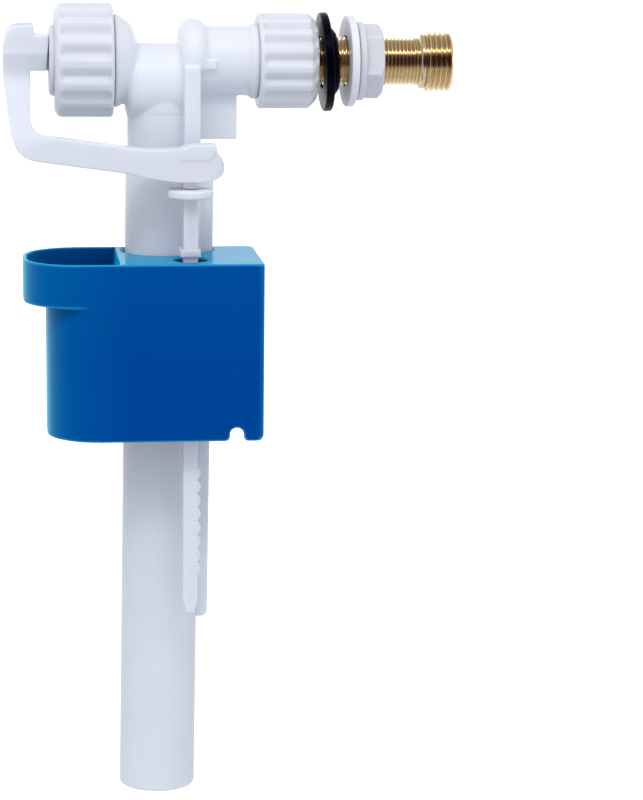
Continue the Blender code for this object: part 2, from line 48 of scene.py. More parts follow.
def make_camera():
    back = Vector((-math.sin(YAW) * math.cos(PITCH), -math.cos(YAW) * math.cos(PITCH), math.sin(PITCH)))
    fwd = -back
    right = fwd.cross(Vector((0, 0, 1))).normalized()
    up = right.cross(fwd)
    r2 = right * math.cos(ROLL) + up * math.sin(ROLL)
    u2 = up * math.cos(ROLL) - right * math.sin(ROLL)
    dist = F_PX / PX_PER_MM
    at = -(fwd * dist + r2 * ((ANCHOR[0] - W_PX / 2) / F_PX * dist) + u2 * ((H_PX / 2 - ANCHOR[1]) / F_PX * dist))
    cam = bpy.data.cameras.new("camera")
    cam.sensor_width = 36.0
    cam.lens = F_PX / H_PX * 36.0
    cam.clip_start, cam.clip_end = 0.05, 60.0
    ob = bpy.data.objects.new("camera", cam)
    bpy.context.scene.collection.objects.link(ob)
    m = Matrix((r2, u2, -fwd)).transposed().to_4x4()
    m.translation = at * MM
    ob.matrix_world = m
    bpy.context.scene.camera = ob
    return ob


make_camera()

# ================================================================ node helpers
MATS = {}


class Nodes:
    """A few shorthands for building a procedural material."""

    def __init__(self, name):
        self.m = bpy.data.materials.new(name)
        self.m.use_nodes = True
        self.t = self.m.node_tree
        self.p = self.t.nodes["Principled BSDF"]
        tc = self.t.nodes.new("ShaderNodeTexCoord")
        self.obj = tc.outputs["Object"]

    def new(self, kind, **props):
        n = self.t.nodes.new(kind)
        for k, v in props.items():
            setattr(n, k, v)
        return n

    def link(self, a, b):
        self.t.links.new(a, b)

    def noise(self, scale, detail=3.0, rough=0.55, stretch=None, distort=0.0, vec=None):
        src = vec or self.obj
        if stretch:
            mp = self.new("ShaderNodeMapping")
            mp.inputs["Scale"].default_value = stretch
            self.link(src, mp.inputs["Vector"])
            src = mp.outputs["Vector"]
        n = self.new("ShaderNodeTexNoise")
        n.inputs["Scale"].default_value = scale
        n.inputs["Detail"].default_value = detail
        n.inputs["Roughness"].default_value = rough
        n.inputs["Distortion"].default_value = distort
        self.link(src, n.inputs["Vector"])
        return n.outputs["Fac"]

    def ramp(self, fac, stops):
        r = self.new("ShaderNodeValToRGB")
        e = r.color_ramp.elements
        while len(e) > 1:
            e.remove(e[-1])
        e[0].position, e[0].color = stops[0][0], (*stops[0][1], 1)
        for pos, c in stops[1:]:
            x = e.new(pos)
            x.color = (*c, 1)
        self.link(fac, r.inputs["Fac"])
        return r.outputs["Color"]

    def map(self, fac, lo, hi, a=0.0, b=1.0):
        r = self.new("ShaderNodeMapRange")
        for k, v in (("From Min", a), ("From Max", b), ("To Min", lo), ("To Max", hi)):
            r.inputs[k].default_value = v
        self.link(fac, r.inputs["Value"])
        return r.outputs["Result"]

    def math(self, op, a, b):
        n = self.new("ShaderNodeMath", operation=op)
        for i, v in enumerate((a, b)):
            if hasattr(v, "type"):
                self.link(v, n.inputs[i])
            else:
                n.inputs[i].default_value = v
        return n.outputs[0]

    def mix(self, fac, a, b, blend="MIX"):
        n = self.new("ShaderNodeMix", data_type="RGBA", blend_type=blend)
        if hasattr(fac, "type"):
            self.link(fac, n.inputs["Factor"])
        else:
            n.inputs["Factor"].default_value = fac
        for key, v in (("A", a), ("B", b)):
            socket = [s for s in n.inputs if s.name == key and s.type == "RGBA"][0]
            if hasattr(v, "type"):
                self.link(v, socket)
            else:
                socket.default_value = (*v, 1)
        return [s for s in n.outputs if s.type == "RGBA"][0]

    def bump(self, height, distance, strength=1.0, normal=None):
        b = self.new("ShaderNodeBump")
        b.inputs["Strength"].default_value = strength
        b.inputs["Distance"].default_value = distance
        self.link(height, b.inputs["Height"])
        if normal:
            self.link(normal, b.inputs["Normal"])
        return b.outputs["Normal"]

    def edges(self, lo=0.52, hi=0.60):
        """1 on convex edges, from the mesh's own pointiness."""
        g = self.new("ShaderNodeNewGeometry")
        return self.map(g.outputs["Pointiness"], 0.0, 1.0, lo, hi)

    def set(self, name, v):
        s = self.p.inputs[name]
        if hasattr(v, "type"):
            self.link(v, s)
        else:
            s.default_value = v


def white_plastic(name, tone=(0.79, 0.82, 0.88), seed=0.0, depth=0.0028, weight=0.55, painted_light_top=None):
    """Moulded polypropylene: faint mottling, slow flow marks, a fine spark-eroded grain, soft gloss; optionally a
    painted lighter tone towards the top.
    """
    if name in MATS:
        return MATS[name]
    n = Nodes(name)
    mp = n.new("ShaderNodeMapping")
    mp.inputs["Location"].default_value = (seed, seed * 0.7, -seed)
    n.link(n.obj, mp.inputs["Vector"])
    v = mp.outputs["Vector"]
    cloud = n.noise(38, 4, 0.6, vec=v)
    flow = n.noise(60, 3, 0.6, stretch=(1, 1, 0.25), distort=0.8, vec=v)
    fleck = n.noise(900, 2, 0.6, vec=v)
    dark = tuple(c * k for c, k in zip(tone, (0.955, 0.965, 0.98)))
    base = n.ramp(cloud, [(0.30, dark), (0.70, tone)])
    base = n.mix(n.map(flow, 0.0, 0.10, 0.45, 0.75), base, tuple(min(1, c * 1.05) for c in tone))
    base = n.mix(n.map(fleck, 0.0, 0.16, 0.60, 0.80), base, tuple(c * 0.93 for c in tone))
    if painted_light_top:                                     # (colour, low z, high z): painted light, the tone turns paler from low z up to high z, standing in for light on the shaded upper tube
        sep = n.new("ShaderNodeSeparateXYZ")
        n.link(n.obj, sep.inputs[0])
        base = n.mix(n.map(sep.outputs["Z"], 0.0, 0.9, painted_light_top[1], painted_light_top[2]), base, painted_light_top[0])
    n.set("Base Color", base)
    r = n.math("ADD", n.map(cloud, 0.30, 0.42), n.map(fleck, -0.03, 0.04))
    n.set("Roughness", r)
    grain = n.noise(2600, 2, 0.5, vec=v)
    waves = n.noise(150, 2, 0.5, vec=v)
    nb = n.bump(waves, 0.00012, 0.35)
    n.set("Normal", n.bump(grain, 0.00003, 0.35, nb))
    n.p.inputs["Subsurface Weight"].default_value = weight
    n.p.inputs["Subsurface Radius"].default_value = (1.0, 1.0, 1.0)
    n.p.inputs["Subsurface Scale"].default_value = depth
    n.p.inputs["IOR"].default_value = 1.49
    MATS[name] = n.m
    return n.m


def blue_plastic(name):
    """Glossy ABS float: deep blue, with painted light towards the cup end and top, painted highlights on the edges,
    faint sink waves and fine scuffs.
    """
    if name in MATS:
        return MATS[name]
    n = Nodes(name)
    cloud = n.noise(22, 4, 0.6)
    base = n.ramp(cloud, [(0.28, (0.0, 0.049, 0.285)), (0.72, (0.0, 0.055, 0.315))])
    # painted light: the moulding turns paler towards its cup end and its top rim, standing in for light from the left
    # and above
    sep = n.new("ShaderNodeSeparateXYZ")
    n.link(n.obj, sep.inputs[0])
    painted_light_drift = n.math("ADD", n.map(sep.outputs["X"], 0.85, 0.0, -0.046, -0.014), n.map(sep.outputs["Z"], 0.0, 0.30, -0.100, -0.066))
    base = n.mix(n.map(painted_light_drift, 0.0, 1.0), base, (0.0, 0.100, 0.355))
    # painted highlights: convex edges are lightened to a pale blue, the sharpest ones nearly white
    base = n.mix(n.math("MULTIPLY", n.edges(0.507, 0.545), 0.95), base, (0.02, 0.34, 0.75))
    base = n.mix(n.math("MULTIPLY", n.edges(0.545, 0.60), 0.55), base, (0.22, 0.62, 0.95))
    n.set("Base Color", base)
    scuff = n.noise(420, 5, 0.7, stretch=(1.0, 1.0, 0.12), distort=1.2)
    r = n.math("ADD", n.map(cloud, 0.14, 0.22), n.map(scuff, 0.0, 0.16, 0.56, 0.80))
    n.set("Roughness", r)
    waves = n.noise(34, 2, 0.5)
    fine = n.noise(1500, 2, 0.5)
    n.set("Normal", n.bump(fine, 0.00001, 0.3, n.bump(waves, 0.0004, 0.30)))
    n.p.inputs["IOR"].default_value = 1.26
    n.p.inputs["Specular IOR Level"].default_value = 0.35
    n.p.inputs["Specular Tint"].default_value = (0.02, 0.85, 1.0, 1)
    n.p.inputs["Sheen Weight"].default_value = 0.95
    n.p.inputs["Sheen Tint"].default_value = (0.0, 0.70, 1.0, 1)
    n.p.inputs["Sheen Roughness"].default_value = 0.45
    MATS[name] = n.m
    return n.m


def black_rubber(name):
    if name in MATS:
        return MATS[name]
    n = Nodes(name)
    cloud = n.noise(90, 4, 0.6)
    dust = n.noise(700, 4, 0.7)
    base = n.ramp(cloud, [(0.3, (0.0005, 0.0005, 0.0016)), (0.7, (0.0013, 0.0012, 0.0035))])
    base = n.mix(n.map(dust, 0.0, 0.22, 0.60, 0.80), base, (0.005, 0.005, 0.013))
    n.set("Base Color", base)
    n.set("Roughness", n.math("ADD", n.map(cloud, 0.24, 0.36), n.map(dust, 0.0, 0.14, 0.5, 0.8)))
    pits = n.noise(1600, 3, 0.6)
    n.set("Normal", n.bump(pits, 0.00003, 0.5, n.bump(n.noise(160, 2), 0.00015, 0.4)))
    n.p.inputs["Specular IOR Level"].default_value = 0.09
    n.p.inputs["Specular Tint"].default_value = (0.45, 0.4, 1.0, 1)
    n.p.inputs["Sheen Weight"].default_value = 0.015
    n.p.inputs["Sheen Tint"].default_value = (0.45, 0.5, 0.95, 1)
    n.p.inputs["Sheen Roughness"].default_value = 0.35
    MATS[name] = n.m
    return n.m


def brass(name):
    """Turned brass: fine lathe lines round the axis, small random colour changes, painted highlights on the crests and
    painted shade in the thread roots.
    """
    if name in MATS:
        return MATS[name]
    n = Nodes(name)
    cloud = n.noise(120, 4, 0.6)
    base = n.ramp(cloud, [(0.3, (0.84, 0.65, 0.365)), (0.7, (0.94, 0.78, 0.51))])
    # painted shade: the thread roots are darkened brown; painted highlight: the crests are lightened
    base = n.mix(n.math("MULTIPLY", n.edges(0.490, 0.425), 0.65), base, (0.46, 0.25, 0.11))
    base = n.mix(n.math("MULTIPLY", n.edges(0.50, 0.58), 0.6), base, (1.0, 0.90, 0.70))
    n.set("Base Color", base)
    n.p.inputs["Metallic"].default_value = 1.0
    lathe = n.noise(9000, 2, 0.6, stretch=(1.0, 0.015, 0.015))
    n.set("Roughness", n.math("ADD", n.map(cloud, 0.13, 0.20), n.map(lathe, 0.0, 0.10, 0.4, 0.8)))
    n.set("Normal", n.bump(lathe, 0.00001, 0.35))
    MATS[name] = n.m
    return n.m


def dull(name, tone, rough=0.45, metal=0.0):
    """Pieces inside the valve: matte plastic or drawn steel with a fine grain."""
    if name in MATS:
        return MATS[name]
    n = Nodes(name)
    cloud = n.noise(160, 4, 0.6)
    n.set("Base Color", n.ramp(cloud, [(0.3, tuple(c * 0.88 for c in tone)), (0.7, tone)]))
    n.set("Roughness", n.map(n.noise(500, 3), rough - 0.07, rough + 0.09))
    n.p.inputs["Metallic"].default_value = metal
    n.set("Normal", n.bump(n.noise(1800, 2), 0.00003, 0.4))
    MATS[name] = n.m
    return n.m


WHITE = white_plastic("white_plastic_body", (0.81, 0.835, 0.89))
WHITE_NUT = white_plastic("white_plastic_nut", (0.755, 0.775, 0.825), seed=0.31)
# the tube's upper part gets a painted lighter tone, standing in for light where the lever and body shade it
WHITE_TUBE = white_plastic("white_plastic_tube", (0.770, 0.805, 0.865), seed=0.57, painted_light_top=((0.90, 0.94, 0.985), -0.120, -0.078))
WHITE_BACKNUT = white_plastic("white_plastic_backnut", (0.695, 0.71, 0.76), seed=0.44)
WHITE_LEVER = white_plastic("white_plastic_lever", (0.77, 0.79, 0.85), seed=0.83)
BLUE = blue_plastic("blue_abs")
RUBBER = black_rubber("black_rubber_moulded")
BRASS = brass("turned_brass")
GREY = dull("grey_acetal", (0.50, 0.52, 0.55))
STEEL = dull("drawn_steel", (0.60, 0.60, 0.62), 0.25, 1.0)


# ================================================================ mesh helpers, all in mm
def to_object(bm, name="tmp", recalc=True):
    if recalc:
        bmesh.ops.recalc_face_normals(bm, faces=bm.faces)
    mesh = bpy.data.meshes.new(name)
    bm.to_mesh(mesh)
    bm.free()
    ob = bpy.data.objects.new(name, mesh)
    bpy.context.scene.collection.objects.link(ob)
    return ob


def axis_point(a, r, t, axis, centre):
    c, s = math.cos(t), math.sin(t)
    p = (a, -r * c, r * s) if axis == "X" else (r * c, a, r * s) if axis == "Y" else (r * c, r * s, a)
    return Vector(p) + Vector(centre)


def turned(profile, n=96, axis="X", centre=(0, 0, 0), radius=None, phase=0.0):
    bm = bmesh.new()
    rings = []
    for i, (a, r) in enumerate(profile):
        if r == 0:
            rings.append([bm.verts.new(axis_point(a, 0, 0, axis, centre))])
            continue
        rings.append([bm.verts.new(axis_point(a, radius(a, r, 2 * math.pi * k / n) if radius else r,
                                              2 * math.pi * k / n + phase, axis, centre)) for k in range(n)])
    pairs = list(zip(rings, rings[1:]))
    if len(rings[0]) > 1:
        pairs.append((rings[-1], rings[0]))
    for one, two in pairs:
        for k in range(n):
            j = (k + 1) % n
            if len(one) == 1 and len(two) == 1:
                continue
            if len(one) == 1:
                bm.faces.new((one[0], two[k], two[j]))
            elif len(two) == 1:
                bm.faces.new((one[k], two[0], one[j]))
            else:
                bm.faces.new((one[k], two[k], two[j], one[j]))
    return to_object(bm)


def soft_profile(points, radii, steps=5, closed=True):
    """Rounds the corners of a turned profile (or any 2-D polygon) with true arcs."""
    out = []
    n = len(points)
    for i, (p, r) in enumerate(zip(points, radii)):
        p = Vector(p)
        if r <= 0 or (not closed and i in (0, n - 1)):
            out.append((p.x, p.y))
            continue
        a = Vector(points[i - 1]) - p
        b = Vector(points[(i + 1) % n]) - p
        ang = a.angle(b)
        if ang > math.pi - 0.02:
            out.append((p.x, p.y))
            continue
        d = min(r / math.tan(ang / 2), a.length * 0.49, b.length * 0.49)
        r = d * math.tan(ang / 2)
        u, v = a.normalized(), b.normalized()
        c = p + (u + v).normalized() * (r / math.sin(ang / 2))
        s, e = p + u * d - c, p + v * d - c
        sweep = s.angle_signed(e)
        base = math.atan2(s.y, s.x)
        for k in range(steps + 1):
            t = base - sweep * k / steps
            out.append((c.x + r * math.cos(t), c.y + r * math.sin(t)))
    return out


def dense(profile, step):
    """Adds points along a profile's long runs, so that a radius function has something to shape."""
    out = []
    for (a0, r0), (a1, r1) in zip(profile, profile[1:] + profile[:1]):
        k = max(1, int(math.hypot(a1 - a0, r1 - r0) / step))
        out += [(a0 + (a1 - a0) * i / k, r0 + (r1 - r0) * i / k) for i in range(k)]
    return out


def cyl(a0, a1, r, n=96, axis="X", centre=(0, 0, 0), phase=0.03):
    return turned([(a0, 0), (a0, r), (a1, r), (a1, 0)], n, axis, centre, phase=phase)


def prism(outline, lo, hi, axis="Y"):
    bm = bmesh.new()
    ends = []
    for h in (lo, hi):
        ends.append([bm.verts.new((x, h, y) if axis == "Y" else (x, y, h) if axis == "Z" else (h, x, y))
                     for x, y in outline])
    bm.faces.new(ends[0])
    bm.faces.new(ends[1])
    n = len(outline)
    for k in range(n):
        j = (k + 1) % n
        bm.faces.new((ends[0][k], ends[0][j], ends[1][j], ends[1][k]))
    return to_object(bm)


def box(x0, x1, y0, y1, z0, z1):
    return prism([(x0, z0), (x1, z0), (x1, z1), (x0, z1)], y0, y1)


def apply_all(ob):
    bpy.context.view_layer.update()
    graph = bpy.context.evaluated_depsgraph_get()
    mesh = bpy.data.meshes.new_from_object(ob.evaluated_get(graph))
    ob.modifiers.clear()
    ob.data = mesh
    return ob


def combine(ob, other, how):
    mod = ob.modifiers.new(how, "BOOLEAN")
    mod.operation = how
    mod.object = other
    mod.solver = "EXACT"
    apply_all(ob)
    bpy.data.objects.remove(other, do_unlink=True)
    return ob


def union(ob, *others):
    for o in others:
        combine(ob, o, "UNION")
    return ob


def cut(ob, *others):
    for o in others:
        combine(ob, o, "DIFFERENCE")
    return ob


def join(*obs):
    """Puts closed shapes into one mesh. mould() then welds them where they overlap."""
    bm = bmesh.new()
    for o in obs:
        bm.from_mesh(o.data)
        bpy.data.objects.remove(o, do_unlink=True)
    return to_object(bm)


def mould(ob, voxel=0.35, smooth=6, factor=0.5):
    """Turns hard joins into the small even fillets of a moulding: a fine remesh, then a light relax."""
    m = ob.modifiers.new("remesh", "REMESH")
    m.mode = "VOXEL"
    m.voxel_size = voxel
    m.adaptivity = 0.0
    s = ob.modifiers.new("relax", "SMOOTH")
    s.factor = factor
    s.iterations = smooth
    return apply_all(ob)


def bevel(ob, width=0.35, segments=3, angle=32):
    m = ob.modifiers.new("bevel", "BEVEL")
    m.width = width
    m.segments = segments
    m.limit_method = "ANGLE"
    m.angle_limit = math.radians(angle)
    m.miter_outer = "MITER_ARC"
    m.use_clamp_overlap = True
    return apply_all(ob)


def weighted(ob, angle):
    """Keeps broad flat faces flat while the small bevels beside them stay smooth."""
    ob.data.shade_smooth()
    ob.data.set_sharp_from_angle(angle=math.radians(angle))
    m = ob.modifiers.new("normals", "WEIGHTED_NORMAL")
    m.mode = "FACE_AREA"
    m.weight = 100
    m.keep_sharp = True
    return ob


def finish(ob, name, mat, body, replaces, angle=38):
    ob.name = name
    ob.data.name = name
    ob.data.transform(Matrix.Scale(MM, 4))
    ob.data.materials.clear()
    ob.data.materials.append(mat)
    if angle is not None:
        ob.data.shade_smooth()
        if angle < 180:
            ob.data.set_sharp_from_angle(angle=math.radians(angle))
    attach(ob, body)
    if replaces:
        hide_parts(*replaces)
    return ob


def smooth_step(x):
    x = max(0.0, min(1.0, x))
    return x * x * (3 - 2 * x)


def spline(rows, per):
    """Catmull-Rom through rows of equal-length number lists."""
    out = []
    n = len(rows)
    for i in range(n - 1):
        p0, p1, p2, p3 = rows[max(i - 1, 0)], rows[i], rows[i + 1], rows[min(i + 2, n - 1)]
        for k in range(per):
            t = k / per
            out.append([0.5 * (2 * b + (c - a) * t + (2 * a - 5 * b + 4 * c - d) * t * t
                               + (3 * b - a - 3 * c + d) * t ** 3) for a, b, c, d in zip(p0, p1, p2, p3)])
    out.append(list(rows[-1]))
    return out


# ================================================================ valve body
TX = -0.9  # the down tube's axis
SX = -0.6  # the shank and the socket inside it


def valve_body():
    # first the big forms, welded with broad soft fillets
    boss = turned(soft_profile([(-17.8, 0), (-17.8, 16.1), (-17.3, 16.3), (-14.4, 14.6), (-12.1, 12.9), (-10.8, 10.3),
                                (-9.9, 7.4), (-9.2, 5.4), (-2.2, 5.0), (-2.2, 0)],
                               [0, 0.2, 0.4, 2.0, 2.0, 2.0, 1.5, 0.8, 0, 0], 4, False), 128)
    neck = turned(soft_profile([(-13.9, 0), (-13.9, 9.0), (-13.2, 11.5), (-11.8, 13.0), (-9.6, 13.7), (9.0, 13.7), (9.0, 0)],
                               [0, 1.5, 1.5, 1.5, 2.0, 0, 0], 4, False), 128, "X", (0, 0, -7.7), phase=0.021)
    shank = cyl(-33.5, -8.5, 12.5, 128, "Z", (SX, 0, 0), 0.043)
    inlet = turned(soft_profile([(5.2, 0), (5.2, 12), (29.0, 12), (29.5, 13.2), (31.6, 13.2), (31.9, 12), (43, 12), (43, 0)],
                                [0, 0, 0.5, 0.4, 0.4, 0.1, 0.4, 0], 4, False), 128, phase=0.065)
    bead = turned([(4.75, 0), (4.75, 11.2)]
                  + [(9.4 - 4.65 * math.cos(t), 11.2 + 3.5 * math.sin(t)) for t in [math.pi * k / 14 for k in range(1, 14)]]
                  + [(14.05, 11.2), (14.05, 0)], 96, phase=0.09)
    cut(bead, box(0, 20, -20, 20, -20, -2.6))
    big = mould(join(boss, neck, shank, inlet, bead), 0.40, 18)
    # then the crisp features
    thread = turned(dense([(-30.6, 0), (-30.6, 15.0), (-16.9, 15.0), (-16.9, 0)], 0.16), 96,
                    radius=lambda a, r, t: r - thread_depth(a, 1.814, 0.95, t) if r > 14.9 and a < -17.4 else r)
    band = prism(soft_profile([(5.6, -16.3), (11.2, -16.3), (11.2, 0.0), (5.6, 0.0)], [0.5, 0.5, 0, 0], 3),
                 -30.0, -0.7, "Z")
    tab = box(12.4, 16.9, -13.2, -8.0, -2.0, 1.2)
    plate = box(8.6, 24.7, -3.3, 3.3, -26.9, -10.3)
    ob = mould(join(big, thread, band, tab, plate), 0.32, 4)
    ways = cyl(-17.0, 7.2, 4.7, 48, phase=0.11)
    union(ways, cyl(6.6, 45, 6.0, 48, phase=0.13), cyl(-32.6, -15.6, 12.2, 64, phase=0.037),
          box(-17.5, -5.5, -6.5, 6.5, -11.4, -8.8), cyl(-35.5, -8.6, 10.5, 64, "Z", (SX, 0, 0), 0.071),
          cyl(30.0, 46, 8.4, 64, phase=0.053))
    # fine parting step on the shank's front
    seam = cyl(-17.75, -17.35, 20.0, 48, "Z", (SX, 0, 0), 0.013)
    cut(seam, cyl(-19.0, -16.0, 12.28, 96, "Z", (SX, 0, 0), 0.017), box(-30, 30, -5, 30, -20, -15),
        box(-30, -5.4, -30, 30, -20, -15), box(5.2, 30, -30, 30, -20, -15))
    combine(ob, ways, "DIFFERENCE")
    combine(ob, seam, "DIFFERENCE")
    return finish(ob, "body_moulding", WHITE, "base", ["valve_body"], 60)


# ================================================================ ribbed nuts
RIBS = 15


def ribbed(depth, phase, start, end, fade_l, fade_r, half=0.30, floor_r=0.0):
    """Radius with RIBS grooves. Each is a shallow round-bottomed flute that fades out at both ends."""
    def radius(a, r, t):
        if r < floor_r:
            return r
        f = smooth_step((a - start) / fade_l) * smooth_step((end - a) / fade_r)
        if f <= 0:
            return r
        u = (math.degrees(t) - phase) * RIBS / 360.0
        u = abs(u - round(u))                       # 0 at the flute, 0.5 on the crest
        flute = 1 - smooth_step(u / half)
        crown = 0.10 * (1 - math.cos(2 * math.pi * (u - half) / (1 - 2 * half))) if u > half else 0.0
        return r - depth * f * flute - 0 * crown
    return radius


def cap_nut():
    pts = soft_profile([(-38.2, 12.6), (-38.2, 17.2), (-36.9, 19.3), (-35.4, 19.6), (-18.9, 19.6), (-18.2, 18.9),
                        (-18.2, 15.3), (-35.0, 15.3), (-35.0, 12.6)],
                       [0.3, 1.2, 1.6, 1.4, 0.7, 0.4, 0.3, 0.3, 0.3], 5)
    ob = turned(dense(pts, 0.7), RIBS * 28, radius=ribbed(1.95, 12.3, -37.4, -18.7, 2.4, 0.9, 0.40, 16.3))
    return finish(ob, "cap_nut_ribbed", WHITE_NUT, "cap_nut", ["cap_nut"], 60)


def union_nut():
    pts = soft_profile([(31.95, 12.3), (31.95, 16.0), (32.5, 16.45), (49.5, 16.45), (52.2, 13.8), (52.2, 9.4),
                        (46.8, 9.4), (46.8, 12.3)],
                       [0.2, 0.4, 0.4, 1.2, 0.6, 0.3, 0.2, 0.2], 5)
    ob = turned(dense(pts, 0.7), RIBS * 28, radius=ribbed(1.60, 5.2, 33.0, 52.2, 0.9, 1.6, 0.40, 13.0))
    return finish(ob, "union_nut_ribbed", WHITE_NUT, "union_nut", ["union_nut"], 60)


# ================================================================ bonnet
def bonnet():
    prof = soft_profile([(-40.1, 0), (-40.1, 11.2), (-39.3, 12.1), (-34.7, 12.1), (-34.7, 14.8), (-31.9, 14.8), (-31.9, 0)],
                        [0, 0.6, 0.4, 0.2, 0.4, 0.3, 0], 4, False)
    ob = turned(prof, 112)
    tongue = prism(soft_profile([(-50.6, -3.1), (-39.0, -3.1), (-39.0, 8.8), (-50.6, 8.8)], [1.2, 0, 0, 1.2], 4), -5.2, 5.2)
    root = prism([(-9.2, 2.6), (-7.6, -2.9), (7.6, -2.9), (9.2, 2.6), (8.4, 8.6), (-8.4, 8.6)], -40.1, -38.6, "X")
    union(ob, tongue, root)
    cut(ob, cyl(-37.2, -31.0, 9.6, 64), cyl(-47.0, -36.0, 1.0, 24), cyl(-52.0, -46.2, 1.9, 32),
        cyl(-8, 8, 1.7, 32, "Y", (-47.3, 0, 6.2)))
    mould(ob, 0.30, 3)
    return finish(ob, "bonnet_moulding", WHITE_NUT, "base", ["bonnet"], 180)


# ================================================================ lever
# outer x, z, inner x, z, front y, back y
HEAD = [
    (-51.2, 12.3, -45.3, 12.5, -8.2, 8.4),
    (-53.4, 11.3, -45.3, 11.5, -8.5, 8.8),
    (-54.9, 8.6, -45.3, 8.8, -9.0, 9.0),
    (-55.5, 5.4, -45.3, 5.6, -9.5, 9.0),
    (-55.7, 3.1, -45.3, 3.1, -9.9, 9.0),
    (-55.7, 2.7, -45.4, 2.6, -9.8, 9.0),
    (-55.7, -2.9, -46.4, -3.0, -8.0, 8.8),
    (-55.7, -5.0, -46.5, -5.1, -8.0, 8.0),
    (-55.6, -7.2, -46.6, -7.2, -8.9, 5.0),
    (-55.5, -8.3, -46.7, -8.3, -10.9, 4.0),
    (-54.9, -13.0, -46.8, -12.9, -15.9, -2.0),
    (-54.2, -18.0, -46.8, -17.0, -20.3, -9.0),
    (-53.5, -22.4, -46.5, -19.9, -23.7, -14.4),
    (-52.5, -26.2, -45.6, -21.9, -26.2, -18.2),
    (-50.7, -29.2, -44.2, -23.0, -27.8, -20.2),
    (-47.8, -31.2, -42.0, -23.5, -28.6, -20.9),
    (-43.0, -32.2, -39.0, -23.9, -29.0, -21.0),
    (-32.0, -33.7, -31.5, -24.9, -29.0, -21.0),
    (-14.7, -36.1, -14.3, -27.2, -29.0, -21.0),
    (-9.3, -37.4, -7.0, -27.9, -29.2, -20.8),
    (-1.0, -38.7, -1.0, -27.9, -29.4, -20.6),
    (4.0, -39.0, 4.0, -27.7, -29.5, -20.5),
    (11.5, -38.9, 11.5, -28.0, -29.5, -20.5),
    (15.0, -38.2, 15.1, -28.6, -29.3, -20.7),
    (17.2, -37.0, 17.2, -30.4, -28.6, -21.4),
    (18.3, -35.4, 18.3, -32.4, -27.4, -22.6),
]


def lever():
    rows = spline(HEAD[:6], 4)[:-1] + spline(HEAD[5:], 5)
    bm = bmesh.new()
    rings = []
    for ox, oz, ix, iz, yf, yb in rows:
        rings.append([bm.verts.new(p) for p in ((ox, yf, oz), (ix, yf, iz), (ix, yb, iz), (ox, yb, oz))])
    bm.faces.new(rings[0])
    bm.faces.new(rings[-1])
    for one, two in zip(rings, rings[1:]):
        for k in range(4):
            j = (k + 1) % 4
            bm.faces.new((one[k], one[j], two[j], two[k]))
    ob = to_object(bm)
    # cheeks that reach along the bonnet's tongue, with the same crease at their front
    cheek = prism([(-9.9, 3.0), (-8.0, -3.1), (8.8, -3.1), (9.0, 8.8), (-9.0, 8.8)], -50.0, -40.25, "X")
    union(ob, cheek)
    # the low right corner is cut back, so that it clears the hub as the lever turns
    cut(ob, prism([(-40.25, 7.0), (-41.15, -4.5), (-38.0, -4.5), (-38.0, 7.0)], -14.0, 14.0))
    # tongue over the paddle's end
    lip = prism(soft_profile([(3.0, -31.5), (3.0, -27.6), (7.0, -26.4), (14.4, -26.1), (15.8, -26.7), (15.8, -28.4), (13.0, -31.5)],
                             [0, 0.8, 2.0, 1.0, 0.5, 0.3, 0], 4), -29.9, -21.6)
    union(ob, lip)
    cut(ob,
        box(-52.7, -38.0, -5.7, 5.7, -5.4, 17.0),
        cyl(-8.2, 8.4, 1.7, 32, "Y", (-47.3, 0, 6.2)),
        box(0.7, 10.2, -27.9, -22.1, -42.0, -33.2),
        prism([(12.4, -28.5), (17.5, -28.35), (17.5, -28.95), (12.4, -28.85)], -31.0, -19.0))
    mould(ob, 0.30, 5)
    return finish(ob, "lever_moulding", WHITE_LEVER, "lever", ["lever"], 180)


# ================================================================ rod, head, thumbwheel, latch
RX, RY = 7.0, -25.0


def rod_head():
    ob = box(RX - 2.7, RX + 2.7, RY - 2.5, RY + 2.5, -41.3, -33.6)
    collar = cyl(-41.3, -40.7, 2.9, 48, "Z", (RX, RY, 0))
    union(ob, collar, cyl(-54.0, -41.0, 1.4, 32, "Z", (RX, RY, 0)))
    mould(ob, 0.20, 4)
    return finish(ob, "rod_head_moulding", WHITE_LEVER, "rod_head", ["rod_head"], 180)


def thumbwheel():
    r = 7.9
    prof = soft_profile([(-44.7, 1.7), (-44.7, 7.0), (-44.2, r), (-42.1, r), (-41.6, 7.0), (-41.6, 1.7)],
                        [0.1, 0.5, 0.5, 0.5, 0.5, 0.1], 4)

    def knurl(a, rr, t):
        return rr - 0.022 * (1 + math.cos(36 * t)) * smooth_step((rr - 7.2) / 0.6)
    ob = turned(prof, 36 * 10, "Z", (RX, RY, 0), knurl)
    return finish(ob, "thumbwheel_disc", WHITE_LEVER, "thumbwheel", ["thumbwheel"], 50)


def float_rod():
    h = 2.5
    ob = box(RX - h, RX + h, RY - h, RY + h, -186.0, -45.0)
    # teeth on the right, each with a shallow land across the rod's front
    teeth = []
    for k in range(8):
        z = -137.8 - k * 4.9
        pts = [(RX + 1.0, z - 0.15), (RX + 2.4, z - 0.15)]
        pts += [(RX + 2.5 + 1.15 * math.sin(math.pi * j / 10), z - 0.3 - 4.3 * j / 10) for j in range(1, 10)]
        pts += [(RX + 2.4, z - 4.75), (RX + 1.0, z - 4.75)]
        teeth.append(prism(pts, RY - 2.0, RY + 1.8))
    fin = join(*teeth)
    toe = prism([(RX - h, -185.0), (RX + h, -185.0), (RX + 1.6, -190.0), (RX - 1.4, -190.0)], RY - h, RY + h)
    union(ob, toe, fin)
    notches = join(*[prism([(RX - 1.6, -138.0 - k * 4.9), (RX + 4.0, -137.3 - k * 4.9), (RX + 4.0, -138.3 - k * 4.9)],
                           RY - 3.5, RY - 2.2) for k in range(9)])
    cut(ob, cyl(-57.0, -43.0, 1.75, 32, "Z", (RX, RY, 0)), notches)
    mould(ob, 0.22, 3)
    return finish(ob, "float_rod_moulding", WHITE_LEVER, "rod", ["float_rod"], 180)


